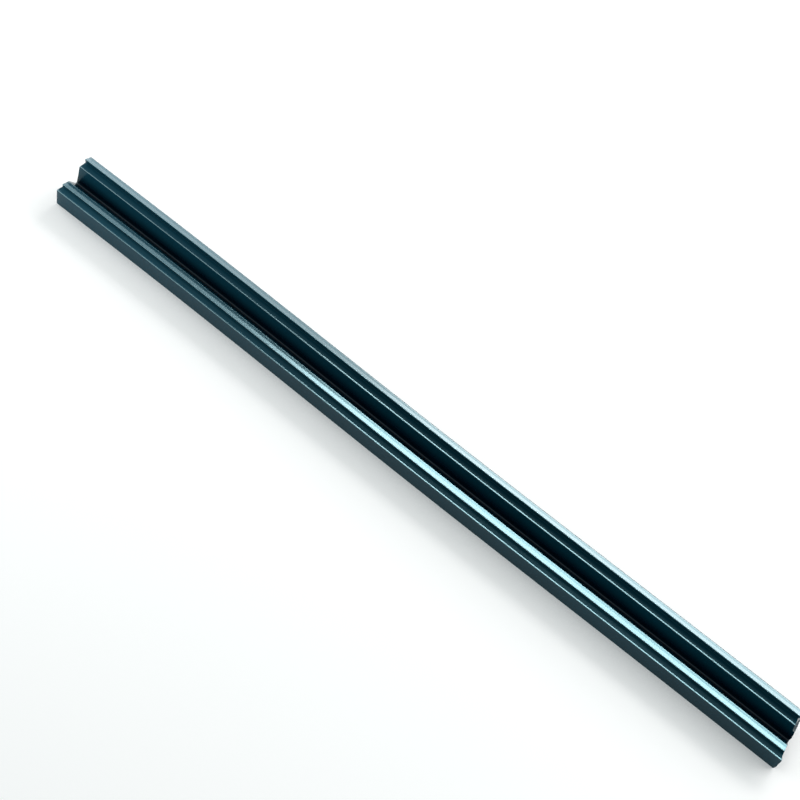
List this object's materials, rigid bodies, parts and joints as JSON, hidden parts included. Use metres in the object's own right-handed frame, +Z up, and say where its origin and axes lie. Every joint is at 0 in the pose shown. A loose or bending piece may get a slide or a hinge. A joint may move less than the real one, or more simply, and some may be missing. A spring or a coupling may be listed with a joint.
{
  "type": "rubber gasket strip",
  "caption": "Straight length of solid extruded rubber gasket with a low rib, a narrow valley and a tall rib, each rib with a level shoulder and a lip; one end square and one end cut on a slant.",
  "frame": {"origin": "centre of the footprint, on the flat base", "axes": "+X along the strip towards the slanted end, +Y from the low rib towards the tall rib, +Z up from the base"},
  "size_m": [0.5, 0.0249, 0.0176],
  "materials": {
    "rubber": "satin"
  },
  "bodies": {
    "root": {"gasket_strip": "rubber"}
  },
  "joints": []
}
